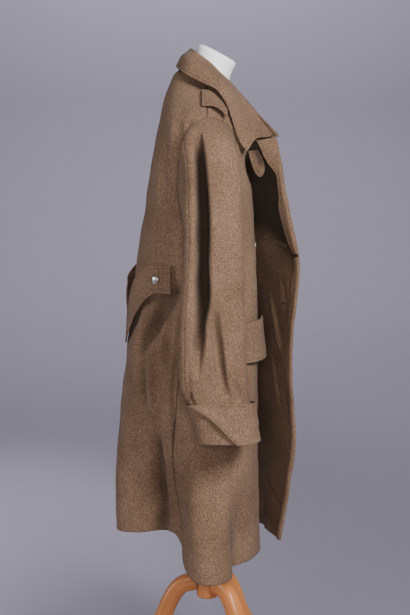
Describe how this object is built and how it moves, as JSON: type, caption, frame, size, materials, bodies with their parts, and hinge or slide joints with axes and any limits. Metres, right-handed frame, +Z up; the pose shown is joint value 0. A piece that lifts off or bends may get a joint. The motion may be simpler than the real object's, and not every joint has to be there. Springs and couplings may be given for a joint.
{
  "type": "greatcoat on a dress form",
  "caption": "Long double-breasted wool greatcoat hanging open on a limbless dress form with a bent beech tripod, with a wide collar, turned-back cuffs and a drooping half-belt.",
  "frame": {"origin": "middle of the bounding box's underside, on the floor between the stand's feet", "axes": "+Z up, along the stand's pole; -Y the way the coat faces; -X the wearer's right side"},
  "size_m": [0.7038, 0.4572, 1.5812],
  "materials": {
    "wool": "matt, milled and slightly hairy",
    "button_metal": "worn satin",
    "form_cover": "smooth stretched cover",
    "beech": "satin varnish"
  },
  "bodies": {
    "root": {"back": "wool", "belt_button_left": "button_metal", "belt_button_right": "button_metal", "button_left_1": "button_metal", "button_left_2": "button_metal", "button_left_3": "button_metal", "button_right_1": "button_metal", "button_right_2": "button_metal", "button_right_3": "button_metal", "collar": "wool", "cuff_left": "wool", "cuff_right": "wool", "dress_form": "form_cover", "front_left": "wool", "front_right": "wool", "half_belt": "wool", "lapel_left": "wool", "lapel_right": "wool", "pocket_flap_left": "wool", "pocket_flap_right": "wool", "shoulder_strap_left": "wool", "shoulder_strap_right": "wool", "sleeve_top_left": "wool", "sleeve_top_right": "wool", "sleeve_under_left": "wool", "sleeve_under_right": "wool", "stand_leg_1": "beech", "stand_leg_2": "beech", "stand_leg_3": "beech", "stand_pole": "beech"}
  },
  "joints": []
}
